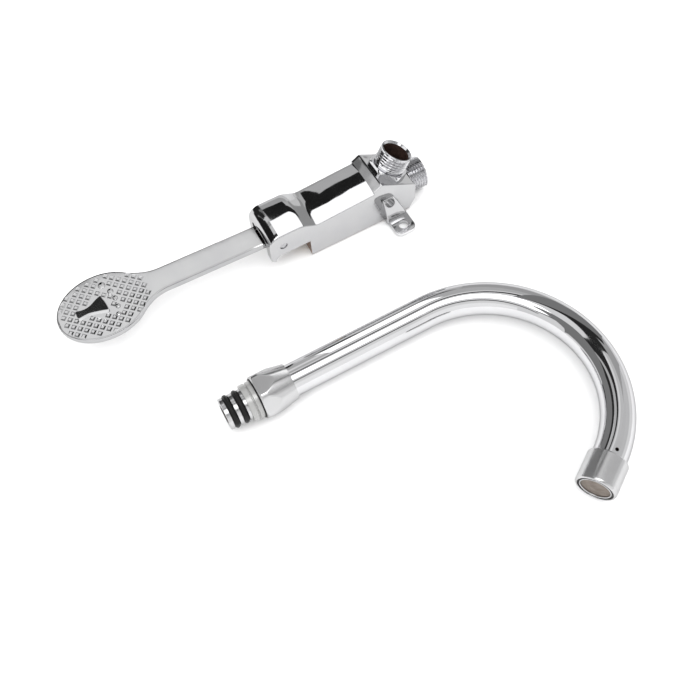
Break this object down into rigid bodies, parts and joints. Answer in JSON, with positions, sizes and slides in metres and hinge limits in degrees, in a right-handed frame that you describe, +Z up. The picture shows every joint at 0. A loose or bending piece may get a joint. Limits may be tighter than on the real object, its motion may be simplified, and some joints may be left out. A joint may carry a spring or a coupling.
{
  "type": "foot pedal tap valve",
  "caption": "Chromed foot pedal tap valve with an oval checkered tread and leaning threaded outlet, and its swan-neck spout with coupling nut and aerator lying beside it.",
  "frame": {"origin": "middle of the valve block's base, on the valve's centre plane", "axes": "+X from the pedal to the water inlet, +Y away from the spout, +Z up from the floor"},
  "size_m": [0.2763, 0.2711, 0.0472],
  "materials": {
    "chrome_body": "polished, plated over cast brass",
    "chrome_lever": "polished, plated",
    "chrome_port": "plated thread",
    "chrome_tube": "mirror polish",
    "chrome_nut": "mirror polish",
    "brass": "as machined",
    "steel": "drawn",
    "mesh": "woven",
    "rubber": "matte",
    "pale_plastic": "turned"
  },
  "bodies": {
    "valve": {"valve_body": "chrome_body", "pivot_pin": "steel", "gland_bush": "brass", "gland_seal": "rubber", "stem_o_rings": "rubber", "valve_seat": "brass", "inlet_nipple": "chrome_port", "inlet_seal": "rubber", "inlet_strainer": "steel", "return_spring": "steel", "outlet_nipple": "chrome_port", "outlet_seal": "rubber"},
    "lever": {"pedal_lever": "chrome_lever", "lever_bush": "pale_plastic"},
    "stem": {"push_stem": "brass", "valve_disc": "rubber", "disc_holder": "brass", "disc_nut": "brass"},
    "spout": {"spout_tube": "chrome_tube", "spout_tail": "chrome_tube", "tail_o_rings": "rubber", "glide_ring": "pale_plastic"},
    "nut": {"coupling_nut": "chrome_nut", "nut_seal": "rubber"},
    "aerator": {"aerator_housing": "chrome_nut", "aerator_washer": "rubber", "aerator_insert": "pale_plastic", "aerator_screen": "mesh"}
  },
  "joints": [
    {"name": "pedal_press", "type": "hinge", "parent": "valve", "child": "lever", "pos_m": [-0.054, 0, 0.0226], "axis": [0, -1, 0], "range_deg": [0, 8], "stiffness_Nm_per_rad": 0.6, "springref_deg": -20.05},
    {"name": "stem_slide", "type": "slide", "parent": "valve", "child": "stem", "axis": [1, 0, 0], "range_m": [0, 0.00156], "deforming": ["return_spring"]},
    {"name": "spout_lift", "type": "slide", "parent": "valve", "child": "spout", "axis": [0, 0, 1], "range_m": [0, 0.1]},
    {"name": "nut_turn", "type": "hinge", "parent": "spout", "child": "nut", "pos_m": [-0.1, -0.096, 0.0132], "axis": [1, 0, 0], "continuous": true},
    {"name": "aerator_turn", "type": "hinge", "parent": "spout", "child": "aerator", "pos_m": [0.03655, -0.22688, 0.0132], "axis": [-0.8434, -0.5373, 0], "continuous": true}
  ],
  "couplings": [
    {"joint": "stem_slide", "follows": "pedal_press", "m_per_rad": 0.0111}
  ]
}
